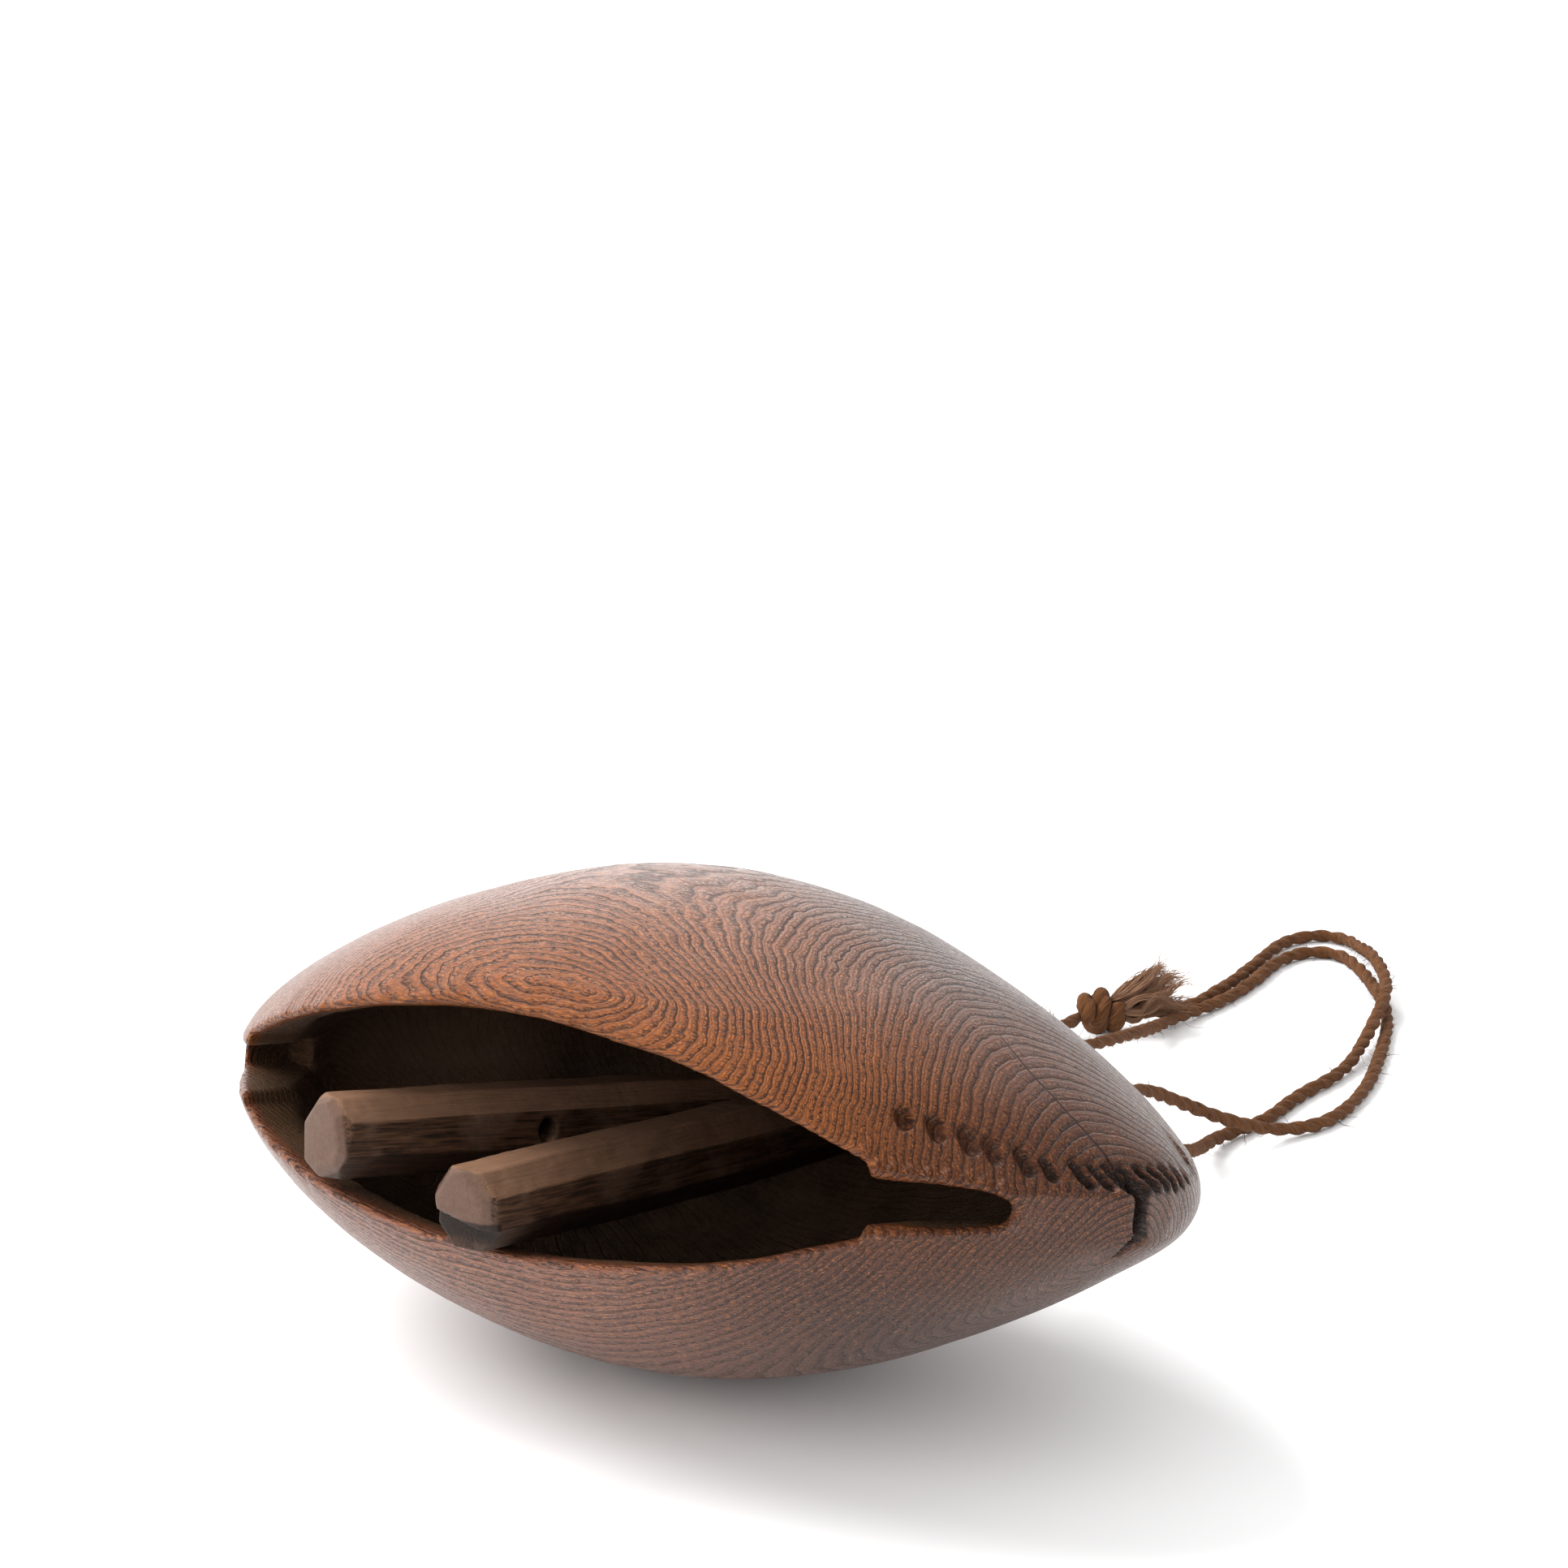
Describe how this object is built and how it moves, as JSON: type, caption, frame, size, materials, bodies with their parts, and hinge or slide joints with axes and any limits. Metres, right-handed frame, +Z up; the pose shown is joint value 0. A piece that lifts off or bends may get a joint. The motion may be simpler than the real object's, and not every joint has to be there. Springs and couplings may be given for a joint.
{
  "type": "wooden camel bell",
  "caption": "Carved almond-shaped wooden camel bell lying on its side, with wooden clappers hung on a twisted rope and a carrying loop.",
  "frame": {"origin": "on the ground under the middle of the bell's own bounding box, rope outside the bell left out", "axes": "+X across the bell from tip to tip, -Y the mouth, +Y the crown where the rope leaves, +Z up; the bell lies tilted, crown low and +X tip raised"},
  "size_m": [0.249, 0.4391, 0.1161],
  "materials": {
    "bell_wood": "oiled, handled to a soft gloss, open dark grain",
    "clapper_wood": "dark whittled, dull",
    "rope_fibre": "twisted plant fibre, matte",
    "frayed_fibre": "frayed plant fibre, matte"
  },
  "bodies": {
    "bell": {"bell_body": "bell_wood", "rope_crossing_upper": "rope_fibre", "rope_crossing_lower": "rope_fibre", "rope_turn_outer": "rope_fibre", "rope_turn_inner": "rope_fibre", "rope_tail": "rope_fibre", "rope_knot": "rope_fibre", "rope_tassel": "frayed_fibre", "rope_tuft": "frayed_fibre"},
    "near_clapper": {"clapper_near": "clapper_wood"},
    "far_clapper": {"clapper_far": "clapper_wood"}
  },
  "joints": [
    {"name": "near_clapper_swing", "type": "hinge", "parent": "bell", "child": "near_clapper", "pos_m": [0.00217, 0.04572, 0.04545], "axis": [-0.9982, -0.0127, -0.0579], "range_deg": [0, 15]},
    {"name": "far_clapper_swing", "type": "hinge", "parent": "bell", "child": "far_clapper", "pos_m": [-0.01629, 0.04548, 0.04438], "axis": [-0.9982, -0.0127, -0.0579], "range_deg": [0, 8.5]}
  ]
}
